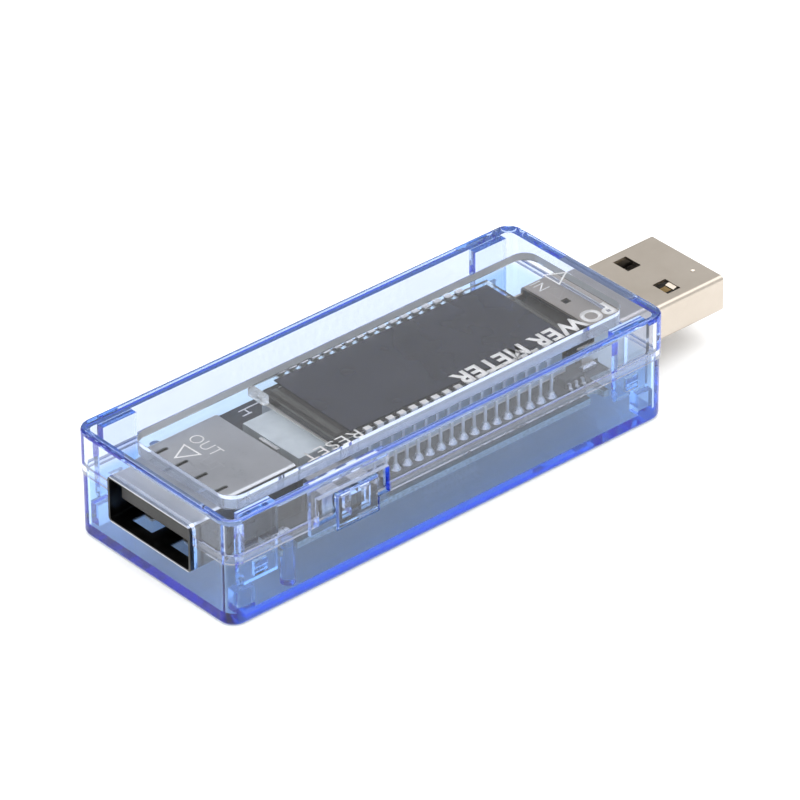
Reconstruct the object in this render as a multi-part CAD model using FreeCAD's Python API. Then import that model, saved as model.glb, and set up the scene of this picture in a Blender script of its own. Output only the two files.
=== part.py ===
"""USB power meter: a translucent two-part casing with a plug, a socket, a display and a reset button.

Row frame in millimetres: +X towards the plug's tip, +Z up, the reset button on the -Y side.
The origin is at the centre of the whole object's underside.
"""
import FreeCAD, Part
import os

Vector = FreeCAD.Vector
TOLERANCE = 1e-4

# ---------------------------------------------------------------- driving dimensions

CASE_LENGTH = 62.5
CASE_WIDTH = 25.8
CASE_HEIGHT = 13.3
PLUG_EXPOSED = 15.0
SOCKET_PROUD = 0.35

WALL = 1.1
TOP_THICKNESS = 1.05
FLOOR_THICKNESS = 1.2
CORNER_RADIUS = 2.0
CAVITY_RADIUS = 0.8
TOP_EDGE_RADIUS = 0.4
BOTTOM_EDGE_RADIUS = 0.5
PARTING_HEIGHT = 7.8
LOWER_INSET = 0.12
FIT_GAP = 0.05

BOARD_TOP = 5.95
BOARD_THICKNESS = 0.8
BOARD_HALF_WIDTH = 11.0

PLUG_WIDTH = 12.0
PLUG_HEIGHT = 4.5
PLUG_BOTTOM = 3.9
PLUG_LENGTH = 19.6
SHEET = 0.3

SOCKET_WIDTH = 13.6
SOCKET_BOTTOM = 4.35
SOCKET_TOP = 10.1
SOCKET_LENGTH = 14.8

DISPLAY_LENGTH = 33.2
DISPLAY_HALF_WIDTH = 7.45
DISPLAY_OFFSET = 5.65
DISPLAY_SKEW = -1.6
GLASS = 0.7
FRONT_GLASS_TOP = 10.5
PIN_COUNT = 17
PIN_PITCH = 1.57

# ---------------------------------------------------------------- stations along the object

TOTAL_LENGTH = SOCKET_PROUD + CASE_LENGTH + PLUG_EXPOSED
SOCKET_FACE = -TOTAL_LENGTH / 2
CASE_FRONT = SOCKET_FACE + SOCKET_PROUD
CASE_REAR = CASE_FRONT + CASE_LENGTH
MIDDLE = (CASE_FRONT + CASE_REAR) / 2
PLUG_TIP = TOTAL_LENGTH / 2
PLUG_BACK = PLUG_TIP - PLUG_LENGTH
SOCKET_BACK = SOCKET_FACE + SOCKET_LENGTH
DISPLAY_MIDDLE = MIDDLE + DISPLAY_OFFSET

HALF_WIDTH = CASE_WIDTH / 2
LOWER_INNER = HALF_WIDTH - LOWER_INSET - WALL
UPPER_INNER = HALF_WIDTH - WALL
CEILING = CASE_HEIGHT - TOP_THICKNESS
BOARD_BOTTOM = BOARD_TOP - BOARD_THICKNESS
BOARD_MIDDLE = (BOARD_TOP + BOARD_BOTTOM) / 2
FRONT_GLASS_BOTTOM = FRONT_GLASS_TOP - GLASS


# ---------------------------------------------------------------- helpers

def box(x, y, z):
    """A block between the two values of each axis."""
    return Part.makeBox(x[1] - x[0], y[1] - y[0], z[1] - z[0], Vector(x[0], y[0], z[0]))


def about(middle, size):
    """The two ends of a span from its middle and its size."""
    return (middle - size / 2, middle + size / 2)


def along(edge, axis):
    """True where a straight edge runs along one axis, 0, 1 or 2."""
    first, last = edge.Vertexes[0].Point, edge.Vertexes[-1].Point
    step = last - first
    return abs(abs(step[axis]) - edge.Length) < TOLERANCE


def rounded_box(x, y, z, radius, axis=2):
    """A block with the four edges along one axis rounded."""
    block = box(x, y, z)
    return block.makeFillet(radius, [edge for edge in block.Edges if along(edge, axis)])


def round_level(solid, height, radius):
    """Round the edges that lie in one level plane."""
    edges = [edge for edge in solid.Edges
             if all(abs(vertex.Z - height) < TOLERANCE for vertex in edge.Vertexes)]
    return solid.makeFillet(radius, edges)


def mirror_y(solid):
    return solid.mirror(Vector(0, 0, 0), Vector(0, 1, 0))


def underneath(solids):
    """Board parts carried over to the underside of the board."""
    return [solid.mirror(Vector(0, 0, BOARD_MIDDLE), Vector(0, 0, 1)) for solid in solids]


def both_sides(solids):
    """The solids and their mirror images across the long middle plane."""
    return solids + [mirror_y(solid) for solid in solids]


def fuse(solids):
    return solids[0].multiFuse(solids[1:]).removeSplitter()


def export(name, shape):
    """Write one node, as a single solid or as a group of separate solids."""
    solids = shape if isinstance(shape, list) else [shape]
    whole = Part.makeCompound(solids) if len(solids) > 1 else solids[0]
    whole.exportStep(f"parts/{name}.step")


def row_of(make, places):
    return [make(place) for place in places]


# ---------------------------------------------------------------- casing

LENS_SPAN = (MIDDLE - 28.1, MIDDLE + 28.5)
LENS_ACROSS = (-9.25, 7.15)
LENS_BOTTOM = 10.95
LENS_CORNER = 2.0

LIP_THICKNESS = 0.6
LIP_HEIGHT = 0.8
REBATE_DEPTH = 0.9

TONGUE_MIDDLES = (MIDDLE - 26.5, MIDDLE + 26.5)
TONGUE_WIDTH = 4.6
TONGUE_THICKNESS = 0.85
TONGUE_BOTTOM = 4.1
TONGUE_ROOT = 9.0
TONGUE_CHAMFER = 0.35
CATCH_WIDTH = 1.7
CATCH_LEVELS = (4.95, 6.6)
CATCH_REACH = 0.5
CATCH_NOSE = 0.5
CATCH_ROOT = 0.3

NOTCH_SPAN = (MIDDLE - 19.05, MIDDLE - 9.2)
NOTCH_TOP = 11.05
BLOCK_SPAN = (MIDDLE - 16.45, MIDDLE - 10.65)
BLOCK_LEVELS = (6.05, 10.5)
BUTTON_GAP = 0.1

POST_MIDDLES = (MIDDLE - 21.95, MIDDLE + 21.95)
POST_PLACES = ((POST_MIDDLES[0], -1), (POST_MIDDLES[0], 1), (POST_MIDDLES[1], 1))
POST_RADIUS = 0.85
POST_TAPER = 0.8
POST_TOP = 6.6
POST_OFFSET = 10.5
FOOT_SIZE = (2.1, 1.4, 2.6)
FOOT_MIDDLES = (MIDDLE - 28.5, MIDDLE + 28.5)
SUNK = 0.2
LIP_GAP_MARGIN = 0.5
SOCKET_CORNER = 0.6
PLUG_CORNER = 0.55


def case_block(inset, radius, z):
    """A block of the casing's plan outline, moved in from the outer face by inset."""
    return rounded_box((CASE_FRONT + inset, CASE_REAR - inset),
                       (-HALF_WIDTH + inset, HALF_WIDTH - inset), z, radius)


def socket_opening():
    gap = 2 * FIT_GAP
    return rounded_box((CASE_FRONT - 1, CASE_FRONT + 3), about(0, SOCKET_WIDTH + gap),
                       (SOCKET_BOTTOM - FIT_GAP, SOCKET_TOP + FIT_GAP), SOCKET_CORNER, axis=0)


def plug_opening():
    gap = 2 * FIT_GAP
    return rounded_box((CASE_REAR - 3, CASE_REAR + 1), about(0, PLUG_WIDTH + gap),
                       (PLUG_BOTTOM - FIT_GAP, PLUG_BOTTOM + PLUG_HEIGHT + FIT_GAP), PLUG_CORNER, axis=0)


def make_window_lens():
    """The thick colourless window over the display and the socket, flush with the casing's top."""
    return rounded_box(LENS_SPAN, LENS_ACROSS, (LENS_BOTTOM, CASE_HEIGHT), LENS_CORNER)


def lens_opening():
    span, across = [(low - FIT_GAP, high + FIT_GAP) for low, high in (LENS_SPAN, LENS_ACROSS)]
    return rounded_box(span, across, (CEILING - 1, CASE_HEIGHT + 1), LENS_CORNER + FIT_GAP)


def tongue(middle):
    """One snap tongue on the near side, with the window that its catch sits in."""
    face = -LOWER_INNER + FIT_GAP
    across = (face, face + TONGUE_THICKNESS)
    blade = box(about(middle, TONGUE_WIDTH), across, (TONGUE_BOTTOM, CEILING + TOP_THICKNESS / 2))
    blade = blade.makeChamfer(TONGUE_CHAMFER, [edge for edge in blade.Edges
                                                if along(edge, 0) and edge.Vertexes[0].Z < TONGUE_ROOT])
    root = box(about(middle, TONGUE_WIDTH), (-UPPER_INNER - WALL / 2, across[1]),
               (TONGUE_ROOT, CEILING + TOP_THICKNESS / 2))
    window = box(about(middle, CATCH_WIDTH + 2 * FIT_GAP), (face - 1, across[1] + 1),
                 (CATCH_LEVELS[0] - FIT_GAP, CATCH_LEVELS[1] + FIT_GAP))
    return fuse([blade, root]).cut(window)


def button_notch_upper():
    return box(NOTCH_SPAN, (-HALF_WIDTH - 1, -UPPER_INNER + FIT_GAP), (PARTING_HEIGHT - 1, NOTCH_TOP))


def button_notch_lower():
    """The notch under the parting line that the button's raised block reaches into."""
    span = (BLOCK_SPAN[0] - BUTTON_GAP, BLOCK_SPAN[1] + BUTTON_GAP)
    return box(span, (-HALF_WIDTH - 1, -LOWER_INNER + FIT_GAP),
               (BLOCK_LEVELS[0] - BUTTON_GAP, PARTING_HEIGHT + LIP_HEIGHT + 1))


def make_upper_shell():
    body = case_block(0, CORNER_RADIUS, (PARTING_HEIGHT, CASE_HEIGHT))
    body = round_level(body, CASE_HEIGHT, TOP_EDGE_RADIUS)
    cavity = case_block(WALL, CAVITY_RADIUS, (PARTING_HEIGHT - 1, CEILING))
    rebate_inset = LOWER_INSET + WALL - LIP_THICKNESS - FIT_GAP
    rebate = case_block(rebate_inset, CORNER_RADIUS - rebate_inset,
                        (PARTING_HEIGHT - 1, PARTING_HEIGHT + REBATE_DEPTH))
    shell = body.cut([cavity, rebate])
    tongues = both_sides(row_of(tongue, TONGUE_MIDDLES))
    shell = fuse([shell] + tongues)
    return shell.cut([lens_opening(), socket_opening(), plug_opening(), button_notch_upper()])


def post(middle, side):
    """A tapered locating post for the board's edge notch."""
    return Part.makeCone(POST_RADIUS, POST_RADIUS * POST_TAPER, POST_TOP - FLOOR_THICKNESS + SUNK,
                         Vector(middle, side * POST_OFFSET, FLOOR_THICKNESS - SUNK))


def corner_foot(middle, side):
    """The stop block under the end of each snap tongue."""
    length, depth, height = FOOT_SIZE
    edge = LOWER_INNER + WALL / 2
    across = sorted((side * edge, side * (LOWER_INNER - depth)))
    return box(about(middle, length), across, (FLOOR_THICKNESS - SUNK, FLOOR_THICKNESS + height))


def catch(middle):
    """A wedge on the near wall that snaps into a tongue's window."""
    root = -LOWER_INNER - CATCH_ROOT
    reach = -LOWER_INNER + CATCH_REACH
    low, high = CATCH_LEVELS
    points = [Vector(0, root, low), Vector(0, reach, low), Vector(0, reach, low + CATCH_NOSE),
              Vector(0, root + CATCH_ROOT, high), Vector(0, root, high)]
    outline = Part.Face(Part.makePolygon(points + points[:1]))
    wedge = outline.extrude(Vector(CATCH_WIDTH, 0, 0))
    wedge.translate(Vector(middle - CATCH_WIDTH / 2, 0, 0))
    return wedge


def make_lower_shell():
    body = case_block(LOWER_INSET, CORNER_RADIUS - LOWER_INSET, (0, PARTING_HEIGHT - FIT_GAP))
    body = round_level(body, 0, BOTTOM_EDGE_RADIUS)
    inset = LOWER_INSET + WALL
    cavity = case_block(inset, CAVITY_RADIUS, (FLOOR_THICKNESS, PARTING_HEIGHT + 2))
    lip_inset = inset - LIP_THICKNESS
    lip = case_block(lip_inset, CORNER_RADIUS - lip_inset,
                     (PARTING_HEIGHT - 0.5, PARTING_HEIGHT + LIP_HEIGHT))
    shell = fuse([body, lip]).cut(cavity)
    inner_parts = [post(middle, side) for middle, side in POST_PLACES]
    inner_parts += [corner_foot(middle, side) for middle in FOOT_MIDDLES for side in (-1, 1)]
    inner_parts += both_sides(row_of(catch, TONGUE_MIDDLES))
    shell = fuse([shell] + inner_parts)
    lip_gap = box((NOTCH_SPAN[0] - LIP_GAP_MARGIN, NOTCH_SPAN[1] + LIP_GAP_MARGIN),
                  (-HALF_WIDTH, -LOWER_INNER + FIT_GAP),
                  (PARTING_HEIGHT, PARTING_HEIGHT + LIP_HEIGHT + 1))
    return shell.cut([socket_opening(), plug_opening(), button_notch_lower(), lip_gap])


# ---------------------------------------------------------------- reset button and its switch

FLANGE_THICKNESS = 0.55
FLANGE_MARGIN = 0.6
FLANGE_TOP = CEILING - 0.35
FLANGE_BOTTOM = BOARD_TOP + 0.25
BUTTON_FACE = -HALF_WIDTH
BUTTON_BACK = -UPPER_INNER + 3 * BUTTON_GAP
BUTTON_EDGE = 0.3
PANEL_RECESS = 0.55
HUB_RADIUS = 1.6
HUB_LENGTH = 1.2
HUB_HALF_HEIGHT = 0.9
POCKET_OFFSETS = (0.9, 3.6)
POCKET_LENGTH = 1.3
POCKET_SKIN = 0.8
POCKET_MARGIN = 0.9
SWITCH_SPAN = (MIDDLE - 16.4, MIDDLE - 10.4)
SWITCH_DEPTH = (-9.6, -6.95)
SWITCH_LEVELS = (BOARD_TOP, BOARD_TOP + 3.4)
SWITCH_POCKET = (3.4, 2.2, 0.8)
SWITCH_MOUTH_RADIUS = 1.75
SWITCH_MIDDLE = (SWITCH_SPAN[0] + SWITCH_SPAN[1]) / 2
PLUNGER_WIDTH = 2.6
PLUNGER_HEIGHT = 1.3
PLUNGER_LEVEL = BOARD_TOP + 2.1
PLUNGER_FRONT = -10.35
PLUNGER_BACK = -9.0
PLUNGER_EDGE = 0.25
COVER = 0.2
COVER_BACK = SWITCH_DEPTH[1] - 0.5
DOME_RISE = 0.35
DOME_RADIUS = 1.05
DOME_SHEET = 0.08
TERMINAL_SIZE = (0.7, 0.25, 0.9)
TERMINAL_INSET = 0.9
TOUCH_GAP = 0.02


def button_pocket(offset):
    """A moulded hollow in the back of the button's block."""
    return box((BLOCK_SPAN[0] + offset, BLOCK_SPAN[0] + offset + POCKET_LENGTH),
               (BUTTON_FACE + POCKET_SKIN, 0),
               (BLOCK_LEVELS[0] + POCKET_MARGIN, BLOCK_LEVELS[1] - POCKET_MARGIN))


def make_reset_button():
    """Raised block, recessed panel, inner flange that keeps it in, and a hub for the plunger."""
    panel_span = (NOTCH_SPAN[0] + BUTTON_GAP, NOTCH_SPAN[1] - BUTTON_GAP)
    panel = box(panel_span, (BUTTON_FACE + PANEL_RECESS, BUTTON_BACK),
                (PARTING_HEIGHT + BUTTON_GAP, NOTCH_TOP - BUTTON_GAP))
    block = box(BLOCK_SPAN, (BUTTON_FACE, BUTTON_BACK), BLOCK_LEVELS)
    front_edges = [edge for edge in block.Edges
                   if all(abs(vertex.Y - BUTTON_FACE) < TOLERANCE for vertex in edge.Vertexes)]
    block = block.makeFillet(BUTTON_EDGE, front_edges)
    flange_front = -UPPER_INNER + 2 * BUTTON_GAP
    flange = box((panel_span[0] - FLANGE_MARGIN, panel_span[1] + FLANGE_MARGIN),
                 (flange_front, flange_front + FLANGE_THICKNESS),
                 (FLANGE_BOTTOM, FLANGE_TOP))
    hub = Part.makeCylinder(HUB_RADIUS, HUB_LENGTH,
                            Vector(SWITCH_MIDDLE, PLUNGER_FRONT - TOUCH_GAP - HUB_LENGTH, PLUNGER_LEVEL),
                            Vector(0, 1, 0))
    hub = hub.common(box(SWITCH_SPAN, (-HALF_WIDTH, 0),
                         (PLUNGER_LEVEL - HUB_HALF_HEIGHT, PLUNGER_LEVEL + HUB_HALF_HEIGHT)))
    return fuse([panel, block, flange, hub]).cut(row_of(button_pocket, POCKET_OFFSETS))


def make_switch_body():
    body = box(SWITCH_SPAN, SWITCH_DEPTH, SWITCH_LEVELS)
    length, height, back = SWITCH_POCKET
    guide = box(about(SWITCH_MIDDLE, PLUNGER_WIDTH + 2 * FIT_GAP), (SWITCH_DEPTH[0] - 1, PLUNGER_BACK + 0.5),
                about(PLUNGER_LEVEL, PLUNGER_HEIGHT + 2 * FIT_GAP))
    pocket = box(about(SWITCH_MIDDLE, length), (PLUNGER_BACK, SWITCH_DEPTH[1] - back),
                 about(PLUNGER_LEVEL, height))
    return body.cut([guide, pocket])


def make_switch_cover():
    """The sheet metal frame over the switch body's front, top and two ends."""
    front = box((SWITCH_SPAN[0] - COVER, SWITCH_SPAN[1] + COVER), (SWITCH_DEPTH[0] - COVER, COVER_BACK),
                (BOARD_TOP, SWITCH_LEVELS[1] + COVER))
    body = box(SWITCH_SPAN, SWITCH_DEPTH, SWITCH_LEVELS)
    mouth = Part.makeCylinder(SWITCH_MOUTH_RADIUS, 2,
                              Vector(SWITCH_MIDDLE, SWITCH_DEPTH[0] - 1, PLUNGER_LEVEL), Vector(0, 1, 0))
    return front.cut([body, mouth])


def make_switch_plunger():
    stem = box(about(SWITCH_MIDDLE, PLUNGER_WIDTH), (PLUNGER_FRONT, PLUNGER_BACK - FIT_GAP),
               about(PLUNGER_LEVEL, PLUNGER_HEIGHT))
    return stem.makeFillet(PLUNGER_EDGE, [edge for edge in stem.Edges
                                          if along(edge, 2) and edge.Vertexes[0].Y < SWITCH_DEPTH[0] - COVER])


def make_switch_dome():
    """The snap dome behind the plunger, a shallow spherical cap of thin sheet."""
    sphere_radius = (DOME_RADIUS ** 2 + DOME_RISE ** 2) / (2 * DOME_RISE)
    front = SWITCH_DEPTH[1] - SWITCH_POCKET[2] - DOME_RISE
    centre = Vector(SWITCH_MIDDLE, front + sphere_radius, PLUNGER_LEVEL)
    outer = Part.makeSphere(sphere_radius, centre)
    inner = Part.makeSphere(sphere_radius - DOME_SHEET, centre)
    keep = Part.makeCylinder(DOME_RADIUS, DOME_RISE + TOUCH_GAP,
                             Vector(SWITCH_MIDDLE, front - TOUCH_GAP, PLUNGER_LEVEL), Vector(0, 1, 0))
    return outer.cut(inner).common(keep)


def switch_terminal(x):
    """A leg out of the back of the switch onto the board."""
    width, depth, height = TERMINAL_SIZE
    return box(about(x, width), (SWITCH_DEPTH[1], SWITCH_DEPTH[1] + depth), (BOARD_TOP, BOARD_TOP + height))


# ---------------------------------------------------------------- plug

WINDOW_OFFSET = 3.2
WINDOW_WIDTH = 2.5
WINDOW_LENGTH = 1.95
WINDOW_FROM_TIP = 5.16
PLUG_TOP = PLUG_BOTTOM + PLUG_HEIGHT
TONGUE_TOP_PLUG = PLUG_BOTTOM + SHEET + 1.95
PILOT_X = (CASE_REAR - 3.0, 0.9)
PILOT_Y = (0.35, 0.9)
CONTACT_WIDTH = 1.0
CONTACT_OFFSETS = (-3.5, -1.0, 1.0, 3.5)
CONTACT_SHEET = 0.2
CONTACT_PROUD = 0.02
CONTACT_FOOT = 1.25
INNER_CONTACT_FRONT = PLUG_TIP - 2.1
OUTER_CONTACT_FRONT = PLUG_TIP - 1.1
PLUG_CORE_BACK = PLUG_BACK - 2.2
PLUG_CORE_FRONT = PLUG_TIP - 0.4
PLUG_BLOCK_FRONT = PLUG_TIP - 11.8
PLUG_CORE_WIDTH = 9.6
CORE_EDGE = 0.4
EAR_LENGTH = 2.4
EAR_LEG_LENGTH = 1.2
EAR_LEVELS = (BOARD_TOP + 0.4, BOARD_TOP + 1.5)
INNER_CORNER = 0.25
WINDOW_SPAN = (PLUG_TIP - WINDOW_FROM_TIP - WINDOW_LENGTH, PLUG_TIP - WINDOW_FROM_TIP)
FLAP_LENGTH = 0.55
FLAP_WIDTH = 1.3
FLAP_DROP = 0.3
FLAP_SHEET = 0.18
DIMPLE_PLACE = (CASE_REAR + 13.3, -2.8)
DIMPLE_DEPTH = 0.08
DIMPLE_SPHERE = 0.6


def window_flap():
    """The tab left in the near top window, bent a little below the shell's face."""
    front, back = WINDOW_SPAN[1] + SHEET / 2, WINDOW_SPAN[1] - FLAP_LENGTH
    top = PLUG_TOP - FLAP_DROP / 3
    points = [Vector(front, 0, top), Vector(back, 0, PLUG_TOP - FLAP_DROP),
              Vector(back, 0, PLUG_TOP - FLAP_DROP - FLAP_SHEET), Vector(front, 0, top - FLAP_SHEET)]
    flap = Part.Face(Part.makePolygon(points + points[:1])).extrude(Vector(0, FLAP_WIDTH, 0))
    flap.translate(Vector(0, -WINDOW_OFFSET - FLAP_WIDTH / 2, 0))
    return flap


def make_plug_shell():
    outer = rounded_box((PLUG_BACK, PLUG_TIP), about(0, PLUG_WIDTH), (PLUG_BOTTOM, PLUG_TOP),
                        PLUG_CORNER, axis=0)
    inner = rounded_box((PLUG_BACK - 1, PLUG_TIP + 1), about(0, PLUG_WIDTH - 2 * SHEET),
                        (PLUG_BOTTOM + SHEET, PLUG_TOP - SHEET), INNER_CORNER, axis=0)
    shell = outer.cut(inner)
    windows = [box(WINDOW_SPAN, about(side * WINDOW_OFFSET, WINDOW_WIDTH), (PLUG_BOTTOM - 1, PLUG_TOP + 1))
               for side in (-1, 1)]
    pilot = box(about(*PILOT_X), about(*PILOT_Y), (PLUG_TOP - 2 * SHEET, PLUG_TOP + 1))
    seam = box((PLUG_BACK - 1, PLUG_TIP + 1), about(0, FIT_GAP), (PLUG_BOTTOM - 1, PLUG_BOTTOM + SHEET + 0.1))
    dimple = Part.makeSphere(DIMPLE_SPHERE, Vector(*DIMPLE_PLACE, PLUG_TOP - DIMPLE_DEPTH + DIMPLE_SPHERE))
    shell = fuse([shell.cut(windows + [pilot, seam, dimple]), window_flap()])
    for side in (-1, 1):
        shell = fuse([shell] + plug_ear(side))
    return shell


def plug_ear(side):
    """The arm and leg at the back of the plug's shell that stand on the board."""
    across = sorted((side * PLUG_WIDTH / 2, side * (PLUG_WIDTH / 2 - SHEET)))
    arm = box((PLUG_BACK - EAR_LENGTH, PLUG_BACK + 0.5), across, EAR_LEVELS)
    leg = box((PLUG_BACK - EAR_LENGTH, PLUG_BACK - EAR_LENGTH + EAR_LEG_LENGTH), across,
              (BOARD_TOP, EAR_LEVELS[0] + 0.6))
    return [arm, leg]


def plug_contact(offset):
    """A contact blade on the plug's tongue, with its tail down to the board."""
    front = INNER_CONTACT_FRONT if abs(offset) < WINDOW_WIDTH else OUTER_CONTACT_FRONT
    back = PLUG_CORE_BACK - CONTACT_SHEET - FIT_GAP
    across = about(offset, CONTACT_WIDTH)
    blade = box((back, front), across, (TONGUE_TOP_PLUG - CONTACT_SHEET, TONGUE_TOP_PLUG + CONTACT_PROUD))
    tail = box((back, back + CONTACT_SHEET), across, (BOARD_TOP, TONGUE_TOP_PLUG))
    foot = box((back - CONTACT_FOOT, back + CONTACT_SHEET), across, (BOARD_TOP, BOARD_TOP + CONTACT_SHEET))
    return fuse([blade, tail, foot])


def make_plug_insulator(contacts):
    inside = about(0, PLUG_WIDTH - 2 * SHEET - 2 * FIT_GAP)
    bottom = PLUG_BOTTOM + SHEET + CONTACT_PROUD
    front = PLUG_CORE_FRONT
    tongue_block = box((PLUG_BACK + SHEET, front), about(0, PLUG_WIDTH - 4 * SHEET),
                       (bottom, TONGUE_TOP_PLUG))
    plug_block = box((PLUG_BACK + SHEET, PLUG_BLOCK_FRONT), inside, (bottom + 0.4, PLUG_TOP - 1.4 * SHEET))
    rear = box((PLUG_CORE_BACK, PLUG_BACK + 1), about(0, PLUG_CORE_WIDTH), (BOARD_TOP, PLUG_TOP - 3 * SHEET))
    body = fuse([tongue_block, plug_block, rear])
    tip_edges = [edge for edge in body.Edges
                 if along(edge, 1) and all(abs(vertex.X - front) < TOLERANCE
                                           and abs(vertex.Z - TONGUE_TOP_PLUG) < TOLERANCE
                                           for vertex in edge.Vertexes)]
    return body.makeFillet(CORE_EDGE, tip_edges).cut(contacts)


# ---------------------------------------------------------------- socket

SOCKET_HALF = SOCKET_WIDTH / 2
SLOT_OFFSETS = (-4.9, -1.6, 1.6, 4.9)
SLOT_SPAN = (MIDDLE - 27.0, MIDDLE - 25.0)
SLOT_WIDTH = 0.5
FINGER_OFFSET = 3.2
FINGER_WIDTH = 2.0
FLOOR_WINDOW = (SOCKET_FACE + 1.6, SOCKET_FACE + 9.2)
FLOOR_WINDOW_WIDTH = 3.4
TONGUE_LEVELS = (SOCKET_TOP - SHEET - 2.6, SOCKET_TOP - SHEET - 0.75)
TONGUE_HALF_WIDTH = 5.5
SOCKET_CORE_FRONT = SOCKET_BACK - 3.4
SOCKET_CORE_WIDTH = SOCKET_WIDTH - 2 * SHEET - 0.7
SOCKET_TONGUE_FRONT = SOCKET_FACE + 0.9
SOCKET_TONGUE_EDGE = 0.35
SIDE_SLOT_SPAN = (SOCKET_FACE + 4, SOCKET_FACE + 8)
SIDE_SLOT_LEVELS = (SOCKET_BOTTOM + 1.65, SOCKET_BOTTOM + 3.75)
HOOK_REACH = 1.0
HOOK_WIDTH = 0.34
SPRING_PROFILE = ((0, 0), (-4.6, 1.25), (-6.2, 1.25), (-7.1, 0.75))
SPRING_ROOT = FLOOR_WINDOW[1] + 0.4
SPRING_CORNER = 0.7
BOARD_EAR_SPAN = (SOCKET_BACK - 5.6, SOCKET_BACK - 3.6)
BOARD_EAR_REACH = 1.4
SOCKET_CONTACT_FRONT = SOCKET_FACE + 1.6


def top_slot(offset):
    """A slot beside one of the top springs, with its hooked front end."""
    z = (SOCKET_TOP - 2 * SHEET, SOCKET_TOP + 1)
    radius = SLOT_WIDTH / 2
    run = box(SLOT_SPAN, about(offset, SLOT_WIDTH), z)
    rear = Part.makeCylinder(radius, z[1] - z[0], Vector(SLOT_SPAN[1], offset, z[0]))
    front = Part.makeCylinder(radius, z[1] - z[0], Vector(SLOT_SPAN[0], offset, z[0]))
    hook_front = SLOT_SPAN[0] - radius
    hook = box((hook_front, hook_front + HOOK_WIDTH), (offset - HOOK_REACH, offset), z)
    return fuse([run, rear, front, hook])


def floor_spring(side):
    """A spring finger in the socket's floor: rooted at the rear, bowed up, tip turned down."""
    low = [Vector(SPRING_ROOT + x, 0, SOCKET_BOTTOM + z) for x, z in SPRING_PROFILE]
    high = [point + Vector(0, 0, SHEET) for point in reversed(low)]
    profile = Part.Face(Part.makePolygon(low + high + low[:1]))
    finger = profile.extrude(Vector(0, FINGER_WIDTH, 0))
    finger.translate(Vector(0, side * FINGER_OFFSET - FINGER_WIDTH / 2, 0))
    plan = rounded_box((low[-1].x, SPRING_ROOT + 1), about(side * FINGER_OFFSET, FINGER_WIDTH),
                       (SOCKET_BOTTOM - 1, SOCKET_BOTTOM + 2), SPRING_CORNER)
    return finger.common(plan)


def board_ear(side):
    """The tab at the socket's side that is soldered to the board."""
    across = sorted((side * (SOCKET_HALF - SHEET / 3), side * (SOCKET_HALF + BOARD_EAR_REACH)))
    return box(BOARD_EAR_SPAN, across, (BOARD_TOP, BOARD_TOP + SHEET))


def make_socket_shell():
    outer = rounded_box((SOCKET_FACE, SOCKET_BACK), about(0, SOCKET_WIDTH), (SOCKET_BOTTOM, SOCKET_TOP),
                        SOCKET_CORNER, axis=0)
    inner = rounded_box((SOCKET_FACE - 1, SOCKET_BACK + 1), about(0, SOCKET_WIDTH - 2 * SHEET),
                        (SOCKET_BOTTOM + SHEET, SOCKET_TOP - SHEET), SOCKET_CORNER / 2, axis=0)
    windows = [box(FLOOR_WINDOW, about(side * FINGER_OFFSET, FLOOR_WINDOW_WIDTH),
                   (SOCKET_BOTTOM - 1, SOCKET_BOTTOM + 2 * SHEET)) for side in (-1, 1)]
    side_slots = [box(SIDE_SLOT_SPAN, about(0, SOCKET_WIDTH + 2), about(level, SHEET))
                  for level in SIDE_SLOT_LEVELS]
    shell = outer.cut([inner] + windows + row_of(top_slot, SLOT_OFFSETS) + side_slots)
    return fuse([shell] + row_of(floor_spring, (-1, 1)) + row_of(board_ear, (-1, 1)))


def socket_contact(offset):
    """A contact strip under the socket's tongue, with its tail behind the core down to the board."""
    across = about(offset, CONTACT_WIDTH)
    back = SOCKET_BACK + CONTACT_SHEET
    level = TONGUE_LEVELS[0]
    strip = box((SOCKET_CONTACT_FRONT, back), across, (level - CONTACT_PROUD, level + CONTACT_SHEET))
    tail = box((SOCKET_BACK, back), across, (BOARD_TOP, level + CONTACT_SHEET))
    foot = box((SOCKET_BACK, SOCKET_BACK + 1.0), across, (BOARD_TOP, BOARD_TOP + CONTACT_SHEET))
    return fuse([strip, tail, foot])


def make_socket_insulator(contacts):
    tongue_block = box((SOCKET_TONGUE_FRONT, SOCKET_BACK - SHEET), about(0, 2 * TONGUE_HALF_WIDTH),
                       TONGUE_LEVELS)
    nose = [edge for edge in tongue_block.Edges
            if along(edge, 1) and edge.Vertexes[0].X < SOCKET_TONGUE_FRONT + TOLERANCE]
    tongue_block = tongue_block.makeFillet(SOCKET_TONGUE_EDGE, nose)
    core = box((SOCKET_CORE_FRONT, SOCKET_BACK - 2 * FIT_GAP), about(0, SOCKET_CORE_WIDTH),
               (SOCKET_BOTTOM + SHEET + CONTACT_PROUD, SOCKET_TOP - SHEET - CONTACT_PROUD))
    return fuse([tongue_block, core]).cut(contacts)


# ---------------------------------------------------------------- board

BOARD_FRONT = MIDDLE - 23.3
BOARD_REAR = MIDDLE + 23.6
BOARD_TAIL_WIDTH = 16.0
NOTCH_MARGIN = 0.15


def board_notch(middle, side):
    """The round-ended notch in the board's edge for a locating post."""
    levels = (BOARD_BOTTOM - 1, BOARD_TOP + 1)
    radius = POST_RADIUS + NOTCH_MARGIN
    hole = Part.makeCylinder(radius, levels[1] - levels[0], Vector(middle, side * POST_OFFSET, levels[0]))
    mouth = box(about(middle, 2 * radius), sorted((side * POST_OFFSET, side * (BOARD_HALF_WIDTH + 1))),
                levels)
    return hole.fuse(mouth)


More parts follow.
